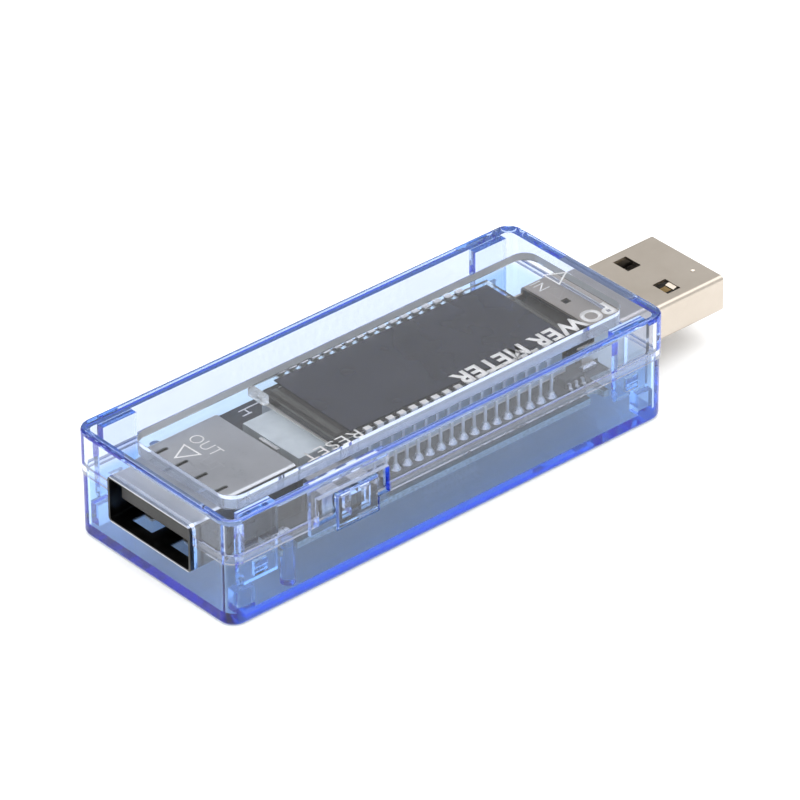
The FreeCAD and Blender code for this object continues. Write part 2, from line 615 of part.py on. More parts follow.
def make_circuit_board():
    levels = (BOARD_BOTTOM, BOARD_TOP)
    main = box((BOARD_FRONT, BOARD_REAR), about(0, 2 * BOARD_HALF_WIDTH), levels)
    tail = box((BOARD_REAR - 1, PLUG_BACK - 2 * FIT_GAP), about(0, BOARD_TAIL_WIDTH), levels)
    socket_bay = box((BOARD_FRONT - 1, SOCKET_BACK + FIT_GAP), about(0, SOCKET_WIDTH + 2 * FIT_GAP),
                     (BOARD_BOTTOM - 1, BOARD_TOP + 1))
    notches = [board_notch(middle, side) for middle in POST_MIDDLES for side in (-1, 1)]
    return fuse([main, tail]).cut(notches + [socket_bay])


# ---------------------------------------------------------------- display

REAR_GLASS_LENGTH = 32.0
REAR_GLASS_WIDTH = 12.4
REAR_GLASS_HEIGHT = 0.62
POLARIZER = 0.12
FRONT_FILM_LENGTH = 30.0
FRONT_FILM_WIDTH = 13.0
FRONT_FILM_OFFSET = 0.8
REAR_FILM_MARGIN = 0.8
SEAL_WIDTH = 0.6
SEAL_HEIGHT = 0.02
REAR_GLASS_TOP = FRONT_GLASS_BOTTOM - SEAL_HEIGHT
REAR_GLASS_BOTTOM = REAR_GLASS_TOP - REAR_GLASS_HEIGHT
REAR_FILM_BOTTOM = REAR_GLASS_BOTTOM - POLARIZER
DIFFUSER = 0.11
GUIDE_HEIGHT = 2.0
REFLECTOR = 0.2
GUIDE_TOP = REAR_FILM_BOTTOM - DIFFUSER
GUIDE_BOTTOM = GUIDE_TOP - GUIDE_HEIGHT
GUIDE_WIDTH = 12.4
GUIDE_TAB_WIDTH = 9.2
GUIDE_TAB_LENGTH = 4.05
GUIDE_FRONT = DISPLAY_MIDDLE - DISPLAY_LENGTH / 2 + 0.3
GUIDE_REAR = DISPLAY_MIDDLE + DISPLAY_LENGTH / 2 - 0.6
LAMP_LENGTH = 0.45
LAMP_WIDTH = 3.0
LAMP_MARGIN = 0.2
LAMP_LEAD_OFFSETS = (-1.1, 1.1)
LAMP_LEAD_WIDTH = 0.5
PIN_WIDTH = 0.35
PIN_SHEET = 0.2
CLIP_WIDTH = 0.85
CLIP_REACH = 0.45
BEAD_SPAN = (4.4, 7.1)
BEAD_REACH = 0.9
SOLDER_CONE = (0.62, 0.3, 0.6)


def askew(solid):
    """A display piece turned a little about the display's middle, as it sits on its pins."""
    turned = solid.copy()
    turned.rotate(Vector(DISPLAY_MIDDLE, 0, 0), Vector(0, 0, 1), DISPLAY_SKEW)
    return turned


def display_slab(length, width, bottom, height, offset=0):
    return askew(box(about(DISPLAY_MIDDLE + offset, length), about(0, width), (bottom, bottom + height)))


def make_perimeter_seal():
    """The thin seal that joins the two glasses all the way round."""
    outer = display_slab(REAR_GLASS_LENGTH, REAR_GLASS_WIDTH, REAR_GLASS_TOP, SEAL_HEIGHT)
    inner = display_slab(REAR_GLASS_LENGTH - 2 * SEAL_WIDTH, REAR_GLASS_WIDTH - 2 * SEAL_WIDTH,
                         REAR_GLASS_TOP - 1, 2)
    return outer.cut(inner)


def make_end_seal():
    """The bead of epoxy over the filling hole at the display's socket end."""
    end = DISPLAY_MIDDLE - DISPLAY_LENGTH / 2
    bead = box((end - BEAD_REACH, end), BEAD_SPAN, (FRONT_GLASS_BOTTOM - 0.2, FRONT_GLASS_TOP + 0.2))
    edges = [edge for edge in bead.Edges
             if all(vertex.X < end - BEAD_REACH / 2 for vertex in edge.Vertexes)]
    return askew(bead.makeFillet(0.4, edges))


def make_backlight_guide():
    """The light guide under the glass, with the bare tab that the lamp shines into."""
    levels = (GUIDE_BOTTOM, GUIDE_TOP)
    body = box((GUIDE_FRONT, GUIDE_REAR), about(0, GUIDE_WIDTH), levels)
    tab = box((GUIDE_FRONT - GUIDE_TAB_LENGTH, GUIDE_FRONT + 1), about(0, GUIDE_TAB_WIDTH), levels)
    return fuse([body, tab])


def make_backlight_reflector():
    return box((GUIDE_FRONT, GUIDE_REAR), about(0, GUIDE_WIDTH), (GUIDE_BOTTOM - REFLECTOR, GUIDE_BOTTOM))


def make_backlight_led():
    front = GUIDE_FRONT - GUIDE_TAB_LENGTH
    return box((front - LAMP_LENGTH, front), about(0, LAMP_WIDTH),
               (GUIDE_BOTTOM + LAMP_MARGIN, GUIDE_TOP - LAMP_MARGIN))


def lamp_lead(y):
    front = GUIDE_FRONT - GUIDE_TAB_LENGTH
    return box(about(front - LAMP_LENGTH / 2, LAMP_LENGTH / 2), about(y, LAMP_LEAD_WIDTH),
               (BOARD_TOP, GUIDE_BOTTOM + LAMP_MARGIN))


def pin_places():
    first = DISPLAY_MIDDLE - (PIN_COUNT - 1) * PIN_PITCH / 2
    return [first + index * PIN_PITCH for index in range(PIN_COUNT)]


def display_pin(x, side):
    """A pin on one long side: a clip round the front glass's edge and a leg down to the board."""
    def across(outer, inner):
        return sorted((side * (DISPLAY_HALF_WIDTH + outer), side * (DISPLAY_HALF_WIDTH - inner)))
    clip = about(x, CLIP_WIDTH)
    upper = box(clip, across(PIN_SHEET, CLIP_REACH), (FRONT_GLASS_TOP, FRONT_GLASS_TOP + PIN_SHEET))
    back = box(clip, across(PIN_SHEET, 0), (FRONT_GLASS_BOTTOM - PIN_SHEET, FRONT_GLASS_TOP + PIN_SHEET))
    lower = box(clip, across(PIN_SHEET, CLIP_REACH), (FRONT_GLASS_BOTTOM - PIN_SHEET, FRONT_GLASS_BOTTOM))
    leg = box(about(x, PIN_WIDTH), across(PIN_SHEET, 0), (BOARD_TOP, FRONT_GLASS_BOTTOM))
    return askew(fuse([upper, back, lower, leg]))


def pin_solder(x, side, pin):
    """The cone of solder round a pin's foot, cut for the pin."""
    centre = Vector(x, side * (DISPLAY_HALF_WIDTH + PIN_SHEET / 2), BOARD_TOP)
    base, top, height = SOLDER_CONE
    return askew(Part.makeCone(base, top, height, centre)).cut(pin)


# ---------------------------------------------------------------- board parts

CONTROLLER = (MIDDLE + 7.6, 0, (7.8, 5.3, 1.3), 12, 0.65, 1.0)
MEMORY = (MIDDLE - 7.2, 0.6, (4.9, 3.9, 1.3), 4, 1.27, 1.0)
REGULATOR = (MIDDLE + 21.4, -7.2, (2.9, 1.6, 1.0), 3, 0.95, 0.6)
LEG_WIDTH = 0.35
LEG_SHEET = 0.15
CHIP_LIFT = 0.1
CHIP_CHAMFER = 0.12


def chip_leg(x, edge, side, reach, height):
    """One gull-wing leg: a shoulder out of the body, a drop, and a foot on the board."""
    across = about(x, LEG_WIDTH)
    drop_start = edge + side * reach * 0.35
    drop_end = edge + side * reach * 0.5
    shoulder = box(across, sorted((edge, drop_end)), about(height, LEG_SHEET))
    drop = box(across, sorted((drop_start, drop_end)), (BOARD_TOP, height + LEG_SHEET / 2))
    foot = box(across, sorted((drop_start, edge + side * reach)), (BOARD_TOP, BOARD_TOP + LEG_SHEET))
    return fuse([shoulder, drop, foot])


def chip(x, y, size, legs, pitch, reach):
    """A gull-wing chip on the board's top: its body and its row of legs on each side."""
    length, width, height = size
    body = box(about(x, length), about(y, width), (BOARD_TOP + CHIP_LIFT, BOARD_TOP + CHIP_LIFT + height))
    top_edges = [edge for edge in body.Edges
                 if all(vertex.Z > BOARD_TOP + height for vertex in edge.Vertexes)]
    middle = BOARD_TOP + CHIP_LIFT + height / 2
    places = [x + (index - (legs - 1) / 2) * pitch for index in range(legs)]
    pins = [chip_leg(place, y + side * width / 2, side, reach, middle)
            for place in places for side in (-1, 1)]
    return body.makeChamfer(CHIP_CHAMFER, top_edges), pins


END_CAP = 0.25


def chip_part(x, y, length, width, height):
    """A two-ended surface part lying along Y: its body and its two end caps."""
    body = box(about(x, length), about(y, width - 2 * END_CAP), (BOARD_TOP, BOARD_TOP + height))
    caps = [box(about(x, length), sorted((y + side * (width / 2 - END_CAP), y + side * width / 2)),
                (BOARD_TOP, BOARD_TOP + height)) for side in (-1, 1)]
    return body, caps


def chip_parts(places, size):
    """The bodies and the end caps of a group of equal surface parts."""
    made = [chip_part(x, y, *size) for x, y in places]
    return [body for body, caps in made], [end for body, caps in made for end in caps]


CAPACITOR_PLACES = [(MIDDLE + x, 3.0) for x in (1.0, 3.5, 6.0, 8.5)]
CAPACITOR_SIZE = (1.25, 2.0, 0.7)
RESISTOR_PLACES = [(MIDDLE + x, -3.0) for x in (-2.0, -0.4, 1.2, 2.8, 4.4, 6.0, 7.6, 9.2)]
RESISTOR_SIZE = (0.8, 1.6, 0.45)
SHUNT_X = (MIDDLE + 18.6, 3.2)
SHUNT_WIDTH = 6.4
SHUNT_HEIGHT = 0.6
CRYSTAL_X = (MIDDLE - 3.4, 2.0)
CRYSTAL_WIDTH = 5.0
CRYSTAL_HEIGHT = 0.8
CRYSTAL_CORNER = 0.25
DIODE_X = MIDDLE - 12.6
DIODE_Y = 5.2
DIODE_SIZE = (1.6, 2.6, 1.05)
DIODE_END = (0.9, 0.5, 0.3)


def make_shunt():
    """The low-ohm current shunt: a flat strip."""
    return box(about(*SHUNT_X), about(0, SHUNT_WIDTH), (BOARD_TOP, BOARD_TOP + SHUNT_HEIGHT))


def make_crystal():
    can = box(about(*CRYSTAL_X), about(0, CRYSTAL_WIDTH), (BOARD_TOP, BOARD_TOP + CRYSTAL_HEIGHT))
    return can.makeFillet(CRYSTAL_CORNER, [edge for edge in can.Edges if along(edge, 2)])


def make_diode():
    length, width, height = DIODE_SIZE
    bottom = BOARD_TOP + FIT_GAP
    body = box(about(DIODE_X, length), about(DIODE_Y, width), (bottom, bottom + height))
    end_length, reach, end_height = DIODE_END
    ends = [box(about(DIODE_X, end_length),
                sorted((DIODE_Y + side * width / 2, DIODE_Y + side * (width / 2 + reach))),
                (BOARD_TOP, BOARD_TOP + end_height)) for side in (-1, 1)]
    return body, ends


SOLDER_CHAMFER = 0.35
EAR_SOLDER = (2.0, 0.7, 0.6)
SOCKET_EAR_SOLDER = (2.6, 0.7, 0.45)
CONTACT_SOLDER = (0.5, 1.3, 0.3)
CONTACT_SOLDER_GAP = 0.25


def mound(x, y, size, metal):
    """A low mound of solder over a joint, cut for the metal it wets."""
    length, width, height = size
    block = box(about(x, length), about(y, width), (BOARD_TOP, BOARD_TOP + height))
    top_edges = [edge for edge in block.Edges
                 if all(vertex.Z > BOARD_TOP + height - TOLERANCE for vertex in edge.Vertexes)]
    block = block.makeChamfer(SOLDER_CHAMFER * min(length, width, 2 * height), top_edges)
    return max(block.cut(metal).Solids, key=lambda solid: solid.Volume)


def make_plug_solder(shell, contacts):
    ear_x = PLUG_BACK - EAR_LENGTH + EAR_LEG_LENGTH / 2
    ear_y = (PLUG_WIDTH + EAR_SOLDER[1]) / 2
    contact_x = PLUG_CORE_BACK - CONTACT_FOOT - CONTACT_SOLDER_GAP - CONTACT_SOLDER[0] / 2
    mounds = [mound(ear_x, side * ear_y, EAR_SOLDER, shell) for side in (-1, 1)]
    return mounds + [mound(contact_x, offset, CONTACT_SOLDER, contact)
                     for offset, contact in zip(CONTACT_OFFSETS, contacts)]


def make_socket_solder(shell, contacts):
    ear_x = sum(BOARD_EAR_SPAN) / 2
    ear_y = SOCKET_HALF + BOARD_EAR_REACH + SOCKET_EAR_SOLDER[1] / 2
    contact_x = SOCKET_BACK + 1.0 + CONTACT_SOLDER[0] / 2
    mounds = [mound(ear_x, side * ear_y, SOCKET_EAR_SOLDER, shell) for side in (-1, 1)]
    return mounds + [mound(contact_x, offset, CONTACT_SOLDER, contact)
                     for offset, contact in zip(CONTACT_OFFSETS, contacts)]


# ---------------------------------------------------------------- assembly

def export_casing_and_button():
    export("upper_shell", make_upper_shell())
    export("window_lens", make_window_lens())
    export("lower_shell", make_lower_shell())
    export("reset_button", make_reset_button())
    export("switch_body", make_switch_body())
    export("switch_cover", make_switch_cover())
    export("switch_plunger", make_switch_plunger())
    export("switch_dome", make_switch_dome())
    export("switch_terminals", row_of(switch_terminal, (SWITCH_SPAN[0] + TERMINAL_INSET,
                                                        SWITCH_SPAN[1] - TERMINAL_INSET)))


def export_connectors():
    plug_contacts = row_of(plug_contact, CONTACT_OFFSETS)
    plug_shell = make_plug_shell()
    export("plug_shell", plug_shell)
    export("plug_contacts", plug_contacts)
    export("plug_insulator", make_plug_insulator(plug_contacts))
    export("plug_solder", make_plug_solder(plug_shell, plug_contacts))
    socket_contacts = row_of(socket_contact, CONTACT_OFFSETS)
    socket_shell = make_socket_shell()
    export("socket_shell", socket_shell)
    export("socket_contacts", socket_contacts)
    export("socket_insulator", make_socket_insulator(socket_contacts))
    export("socket_solder", make_socket_solder(socket_shell, socket_contacts))


def export_display():
    export("lcd_front_glass", display_slab(DISPLAY_LENGTH, 2 * DISPLAY_HALF_WIDTH, FRONT_GLASS_BOTTOM, GLASS))
    export("lcd_rear_glass", display_slab(REAR_GLASS_LENGTH, REAR_GLASS_WIDTH, REAR_GLASS_BOTTOM,
                                          REAR_GLASS_HEIGHT))
    export("lcd_front_polarizer", display_slab(FRONT_FILM_LENGTH, FRONT_FILM_WIDTH, FRONT_GLASS_TOP,
                                               POLARIZER, FRONT_FILM_OFFSET))
    export("lcd_rear_polarizer", display_slab(REAR_GLASS_LENGTH - REAR_FILM_MARGIN,
                                              REAR_GLASS_WIDTH - REAR_FILM_MARGIN, REAR_FILM_BOTTOM, POLARIZER))
    export("lcd_perimeter_seal", make_perimeter_seal())
    export("lcd_end_seal", make_end_seal())
    export("backlight_diffuser", box((GUIDE_FRONT, GUIDE_REAR), about(0, GUIDE_WIDTH - REAR_FILM_MARGIN),
                                     (GUIDE_TOP, GUIDE_TOP + DIFFUSER)))
    export("backlight_guide", make_backlight_guide())
    export("backlight_reflector", make_backlight_reflector())
    export("backlight_led", make_backlight_led())
    export("backlight_leads", row_of(lamp_lead, LAMP_LEAD_OFFSETS))
    solder = []
    for name, side in (("lcd_pins_near", -1), ("lcd_pins_far", 1)):
        pins = [display_pin(x, side) for x in pin_places()]
        export(name, pins)
        solder += [pin_solder(x, side, pin) for x, pin in zip(pin_places(), pins)]
    export("lcd_pin_solder", solder)


def export_board():
    export("circuit_board", make_circuit_board())
    controller, controller_legs = chip(*CONTROLLER)
    export("controller_chip", underneath([controller]))
    export("controller_leads", underneath(controller_legs))
    memory, memory_legs = chip(*MEMORY)
    export("memory_chip", underneath([memory]))
    export("memory_leads", underneath(memory_legs))
    regulator, regulator_legs = chip(*REGULATOR)
    export("regulator_body", regulator)
    export("regulator_leads", regulator_legs)
    export("shunt_resistor", underneath([make_shunt()]))
    capacitors, capacitor_ends = chip_parts(CAPACITOR_PLACES, CAPACITOR_SIZE)
    export("capacitor_bodies", capacitors)
    export("capacitor_terminals", capacitor_ends)
    resistors, resistor_ends = chip_parts(RESISTOR_PLACES, RESISTOR_SIZE)
    export("resistor_bodies", resistors)
    export("resistor_terminals", resistor_ends)
    diode, diode_ends = make_diode()
    export("rectifier_diode", underneath([diode]))
    export("diode_leads", underneath(diode_ends))
    export("crystal_can", underneath([make_crystal()]))


os.makedirs("parts", exist_ok=True)
export_casing_and_button()
export_connectors()
export_display()
export_board()
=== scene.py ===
import math

import bmesh
import bpy
from mathutils import Matrix, Vector


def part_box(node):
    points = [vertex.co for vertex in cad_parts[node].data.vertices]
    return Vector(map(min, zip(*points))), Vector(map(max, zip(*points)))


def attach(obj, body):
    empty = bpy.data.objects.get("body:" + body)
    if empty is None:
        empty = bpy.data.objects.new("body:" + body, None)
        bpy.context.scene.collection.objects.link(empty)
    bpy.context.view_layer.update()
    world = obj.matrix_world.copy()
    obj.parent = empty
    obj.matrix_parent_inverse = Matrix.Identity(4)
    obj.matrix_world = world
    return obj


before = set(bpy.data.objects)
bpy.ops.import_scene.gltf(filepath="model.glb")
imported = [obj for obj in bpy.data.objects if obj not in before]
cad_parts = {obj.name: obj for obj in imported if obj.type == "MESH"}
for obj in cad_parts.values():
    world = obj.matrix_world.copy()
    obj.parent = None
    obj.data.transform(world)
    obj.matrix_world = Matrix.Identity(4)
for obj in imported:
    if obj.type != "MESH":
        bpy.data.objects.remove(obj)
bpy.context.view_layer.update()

MM = 0.001

# ---------------------------------------------------------------- camera and studio

CAMERA_AZIMUTH = 41.087        # degrees from +Y towards +X
CAMERA_ELEVATION = 32.816      # degrees above the horizon
CAMERA_ROLL = -0.4525          # degrees
CAMERA_DISTANCE = 692.01 * MM
CAMERA_TARGET = Vector((-2.764, 1.118, 6.65)) * MM
CAMERA_LENS = 287.308
SENSOR_WIDTH = 36.0
BOUNCES = 64                   # light is trapped in the clear walls for many reflections


def add_camera():
    """A long lens that looks down along the object from its socket end."""
    azimuth, elevation, roll = (math.radians(angle) for angle in
                                (CAMERA_AZIMUTH, CAMERA_ELEVATION, CAMERA_ROLL))
    level = math.cos(elevation)
    look = Vector((math.sin(azimuth) * level, math.cos(azimuth) * level, -math.sin(elevation)))
    side = look.cross(Vector((0, 0, 1))).normalized()
    up = side.cross(look)
    right = math.cos(roll) * side + math.sin(roll) * up
    over = right.cross(look)
    data = bpy.data.cameras.new("camera")
    data.lens = CAMERA_LENS
    data.sensor_width = SENSOR_WIDTH
    data.clip_start = 0.01
    data.clip_end = 10.0
    camera = bpy.data.objects.new("camera", data)
    rotation = Matrix((right, over, -look)).transposed()
    camera.matrix_world = Matrix.Translation(CAMERA_TARGET - look * CAMERA_DISTANCE) @ rotation.to_4x4()
    bpy.context.scene.collection.objects.link(camera)
    bpy.context.scene.camera = camera


def set_up_renderer():
    scene = bpy.context.scene
    scene.view_settings.view_transform = "Standard"
    scene.view_settings.look = "None"
    cycles = scene.cycles
    cycles.max_bounces = BOUNCES
    cycles.transmission_bounces = BOUNCES
    cycles.glossy_bounces = BOUNCES
    cycles.diffuse_bounces = 4
    cycles.transparent_max_bounces = 16
    cycles.sample_clamp_indirect = 6.0


# ---------------------------------------------------------------- shader building

class Shader:
    """A node material that is put together one node at a time."""

    def __init__(self, name, tree=None):
        if tree is None:
            self.material = bpy.data.materials.new(name)
            self.material.use_nodes = True
            tree = self.material.node_tree
        self.tree = tree
        self.tree.nodes.clear()

    def add(self, kind, inputs=None, **settings):
        node = self.tree.nodes.new("ShaderNode" + kind)
        for key, value in settings.items():
            setattr(node, key, value)
        for key, value in (inputs or {}).items():
            if isinstance(value, bpy.types.NodeSocket):
                self.tree.links.new(value, node.inputs[key])
            else:
                node.inputs[key].default_value = value
        return node

    def place(self, stretch=(1, 1, 1)):
        """The surface point in the piece's own space, in metres, with each axis scaled."""
        coordinates = self.add("TexCoord").outputs["Object"]
        return self.add("Mapping", {"Vector": coordinates, "Scale": stretch}).outputs["Vector"]

    def noise(self, size, detail=2.0, roughness=0.5, stretch=(1, 1, 1)):
        """Smooth noise, 0 to 1, whose features are about size across, in metres."""
        return self.add("TexNoise", {"Vector": self.place(stretch), "Scale": 1.0 / size, "Detail": detail,
                                     "Roughness": roughness}).outputs["Fac"]

    def cells(self, size):
        """Distance from the middles of cells that are about size across, in metres."""
        return self.add("TexVoronoi", {"Vector": self.place(), "Scale": 1.0 / size},
                        feature="F1").outputs["Distance"]

    def span(self, value, low, high, source=(0.0, 1.0)):
        """A value carried from one range to another, held at its ends."""
        return self.add("MapRange", {"Value": value, "From Min": source[0], "From Max": source[1],
                                     "To Min": low, "To Max": high}).outputs["Result"]

    def ramp(self, value, first, last, source=(0.0, 1.0)):
        """A colour between two colours."""
        node = self.add("ValToRGB", {"Fac": value})
        low, high = node.color_ramp.elements
        low.position, high.position = source
        low.color = (*first, 1)
        high.color = (*last, 1)
        return node.outputs["Color"]

    def mix(self, factor, first, second):
        """The first colour where factor is 0, the second where it is 1."""
        node = self.add("Mix", data_type="RGBA")
        for socket, value in (("Factor_Float", factor), ("A_Color", first), ("B_Color", second)):
            self.tree.links.new(value, next(item for item in node.inputs if item.identifier == socket))
        return next(item for item in node.outputs if item.identifier == "Result_Color")

    def sum(self, first, second, weight):
        """The first value plus the second times a weight."""
        scaled = self.add("Math", {0: second, 1: weight}, operation="MULTIPLY").outputs["Value"]
        return self.add("Math", {0: first, 1: scaled}, operation="ADD").outputs["Value"]

    def bump(self, height, depth, strength=1.0):
        """A normal from a height, whose 0 to 1 stands for depth in metres."""
        return self.add("Bump", {"Height": height, "Distance": depth,
                                 "Strength": strength}).outputs["Normal"]

    def surface(self, shader, volume):
        output = self.add("OutputMaterial", {"Surface": shader})
        if volume is not None:
            self.tree.links.new(volume, output.inputs["Volume"])
        return self.material

    def principled(self, volume=None, **inputs):
        named = {key.replace("_", " "): value for key, value in inputs.items()}
        return self.surface(self.add("BsdfPrincipled", named).outputs["BSDF"], volume)


def grey(value):
    return (value, value, value)


# ---------------------------------------------------------------- materials

PLASTIC_IOR = 1.56
PLASTIC_DENSITY = 98.0                     # per metre, as are the densities below
PLASTIC_COLOUR = (0.02, 0.41, 0.93, 1)
BUTTON_DENSITY = PLASTIC_DENSITY * 0.6
UPPER_SKIN = (0.93, 0.94, 1.0)
LOWER_SKIN = (0.62, 0.79, 1.0)
SKIN_CHANGE = (1.5 * MM, 0.5 * MM)         # below the parting: the lower skin's end, the upper's start
WINDOW_DENSITY = 40.0
WINDOW_COLOUR = (0.90, 0.93, 0.98, 1)
WINDOW_FACE = (0.985, 0.985, 1.0)
WINDOW_SIDE = (0.88, 0.94, 1.0)
WINDOW_SIDE_HAZE = 0.4
WINDOW_SIDE_CLEAR = 0.5
WINDOW_SIDE_SHIFT = 0.2 * MM
GLASS_IOR = 1.52
GLASS_DENSITY = 55.0
GLASS_COLOUR = (0.55, 0.86, 0.72, 1)
EPOXY_IOR = 1.54
UPRIGHT = 0.5                              # a normal's rise below which a face counts as upright
SOCKET_SKIN = 0.16 * MM
SPRING_REACH = 4.4 * MM
SPRING_RISE = (0.5 * MM, 1.8 * MM)


def sheer(shader):
    """1 on faces that stand upright, 0 on level ones."""
    level = shader.add("SeparateXYZ", {"Vector": shader.add("TexCoord").outputs["Normal"]}).outputs["Z"]
    size = shader.add("Math", {0: level}, operation="ABSOLUTE").outputs["Value"]
    return shader.add("Math", {0: size, 1: UPRIGHT}, operation="LESS_THAN").outputs["Value"]


def within(shader, low, high):
    """1 inside a box of the piece's own space, 0 outside it."""
    places = shader.add("SeparateXYZ", {"Vector": shader.place()}).outputs
    inside = None
    for axis, first, last in zip("XYZ", low, high):
        middle, half = (first + last) / 2, (last - first) / 2
        test = shader.add("Math", {0: places[axis], 1: middle, 2: half},
                          operation="COMPARE").outputs["Value"]
        inside = test if inside is None else shader.add("Math", {0: inside, 1: test},
                                                        operation="MULTIPLY").outputs["Value"]
    return inside


def window_sides(shader):
    """1 on the window's edges towards the plug and the far side, which the cutter left matt."""
    low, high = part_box("window_lens")
    shift = Vector((1, 1, 1)) * WINDOW_SIDE_SHIFT
    return shader.add("Math", {0: sheer(shader), 1: within(shader, low + shift, high + shift)},
                      operation="MULTIPLY").outputs["Value"]


def absorption(shader, colour, density):
    """Colour that deepens with the way light travels inside the piece."""
    return shader.add("VolumeAbsorption", {"Color": colour, "Density": density}).outputs["Volume"]


def clear_blue(name, density, haze):
    """Polished clear plastic, bluer the further light travels in it."""
    shader = Shader(name)
    flow = shader.noise(9 * MM, 2.0)
    ripple = shader.noise(1.1 * MM, 3.0)
    scratches = shader.noise(0.16 * MM, 2.0, stretch=(0.06, 1, 1))
    normal = shader.bump(shader.sum(flow, ripple, 0.12), 0.02 * MM, 0.35)
    roughness = shader.span(scratches, haze * 0.5, haze * 1.6, (0.35, 0.75))
    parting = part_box("lower_shell")[1].z
    height = shader.add("SeparateXYZ", {"Vector": shader.place()}).outputs["Z"]
    change = [parting - step for step in SKIN_CHANGE]
    skin = shader.ramp(shader.span(height, 0.0, 1.0, change), LOWER_SKIN, UPPER_SKIN)
    depth = absorption(shader, PLASTIC_COLOUR, density)
    return shader.principled(volume=depth, Base_Color=skin, Roughness=roughness,
                             IOR=PLASTIC_IOR, Transmission_Weight=1.0, Normal=normal)


def clear_window(name):
    """Colourless polished plastic with the faintest ripple of moulding and matt edges."""
    shader = Shader(name)
    ripple = shader.sum(shader.noise(7 * MM, 2.0), shader.noise(1.4 * MM, 3.0), 0.15)
    scratches = shader.noise(0.2 * MM, 2.0, stretch=(0.06, 1, 1))
    polish = shader.span(scratches, 0.008, 0.03, (0.35, 0.75))
    matt = window_sides(shader)
    depth = absorption(shader, WINDOW_COLOUR, WINDOW_DENSITY)
    return shader.principled(volume=depth, Base_Color=shader.ramp(matt, WINDOW_FACE, WINDOW_SIDE),
                             IOR=PLASTIC_IOR, Roughness=shader.sum(polish, matt, WINDOW_SIDE_HAZE),
                             Transmission_Weight=shader.span(matt, 1.0, WINDOW_SIDE_CLEAR),
                             Normal=shader.bump(ripple, 0.012 * MM, 0.3))


def clear_glass(name):
    """Display glass, faintly green and a little rough where it is ground."""
    shader = Shader(name)
    ground = shader.noise(0.12 * MM, 3.0)
    roughness = shader.span(ground, 0.02, 0.09)
    depth = absorption(shader, GLASS_COLOUR, GLASS_DENSITY)
    return shader.principled(volume=depth, Base_Color=(0.97, 0.99, 0.98, 1), Roughness=roughness,
                             IOR=GLASS_IOR, Transmission_Weight=1.0)


def clear_epoxy(name):
    """A blob of clear epoxy with a lumpy skin."""
    shader = Shader(name)
    lumps = shader.sum(shader.noise(0.5 * MM, 3.0, 0.6), shader.cells(0.3 * MM), 0.6)
    return shader.principled(Base_Color=(0.95, 0.97, 0.95, 1), Roughness=0.03, IOR=EPOXY_IOR,
                             Transmission_Weight=1.0, Normal=shader.bump(lumps, 0.3 * MM))


SHEET_LINES = 0.05 * MM
SHEET_LINE_DEPTH = 0.0004 * MM
SHEET_DRAWN = (0.04, 1, 1)                 # the lines run along X
SHEET_STAINS = 4.5 * MM
SOCKET_BRIGHT = ((0.44, 0.46, 0.50), (0.54, 0.56, 0.60))
# painted shade: the near-black colour of the faces inside the socket's mouth
SOCKET_PAINTED_SHADE = (grey(0.03), grey(0.10))


def metal(name, dark, light, rough, stretch=SHEET_DRAWN):
    """Plated sheet: fine drawn lines, faint stains and a roughness that varies."""
    shader = Shader(name)
    lines = shader.noise(SHEET_LINES, 3.0, 0.6, stretch)
    stains = shader.noise(SHEET_STAINS, 4.0, 0.55)
    pits = shader.noise(0.25 * MM, 2.0)
    colour = shader.ramp(shader.sum(stains, lines, 0.15), dark, light, (0.35, 0.85))
    roughness = shader.span(shader.sum(lines, pits, 0.5), rough * 0.8, rough * 1.2, (0.3, 1.1))
    normal = shader.bump(shader.sum(lines, pits, 0.4), SHEET_LINE_DEPTH, 0.6)
    return shader.principled(Base_Color=colour, Metallic=1.0, Roughness=roughness, Normal=normal)


def socket_sheet(name):
    """Tin plate: bright outside and on the springs, with painted shade, nearly black, on the faces within
    the mouth.
    """
    shader = Shader(name)
    lines = shader.noise(SHEET_LINES, 3.0, 0.6, SHEET_DRAWN)
    stains = shader.noise(SHEET_STAINS, 4.0, 0.55)
    bright = shader.ramp(shader.sum(stains, lines, 0.15), *SOCKET_BRIGHT, (0.35, 0.85))
    # painted shade on the faces inside the mouth, mottled by the stains
    painted_shade = shader.ramp(stains, *SOCKET_PAINTED_SHADE, (0.4, 0.7))
    low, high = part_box("socket_shell")
    inset = Vector((-1, 1, 1)) * SOCKET_SKIN
    springs = within(shader, Vector((low.x, -SPRING_REACH, low.z + SPRING_RISE[0])),
                     Vector((high.x, SPRING_REACH, low.z + SPRING_RISE[1])))
    mouth = within(shader, low + inset, high - inset)
    # where the painted shade goes: the faces inside the mouth, with the springs left out
    inside = shader.add("Math", {0: mouth, 1: springs}, operation="GREATER_THAN").outputs["Value"]
    roughness = shader.span(shader.sum(lines, stains, 0.5), 0.24, 0.36, (0.3, 1.1))
    return shader.principled(Base_Color=shader.mix(inside, bright, painted_shade), Metallic=1.0,
                             Roughness=roughness, Normal=shader.bump(lines, SHEET_LINE_DEPTH, 0.6))


def solder_metal(name):
    """Solder with a frosted, lumpy skin."""
    shader = Shader(name)
    skin = shader.noise(0.35 * MM, 4.0, 0.6)
    colour = shader.ramp(skin, (0.52, 0.53, 0.55), (0.80, 0.81, 0.83), (0.3, 0.7))
    normal = shader.bump(skin, 0.05 * MM, 0.8)
    return shader.principled(Base_Color=colour, Metallic=1.0, Roughness=shader.span(skin, 0.16, 0.42),
                             Normal=normal)


def moulded(name, dark, light, rough):
    """Opaque moulded plastic or ceramic with a fine grain."""
    shader = Shader(name)
    fine = shader.noise(0.08 * MM, 3.0)
    broad = shader.noise(2.5 * MM, 3.0)
    colour = shader.ramp(shader.sum(broad, fine, 0.35), dark, light, (0.35, 0.95))
    roughness = shader.span(fine, rough * 0.8, min(rough * 1.25, 1.0))
    return shader.principled(Base_Color=colour, Roughness=roughness, Normal=shader.bump(fine, 0.006 * MM))


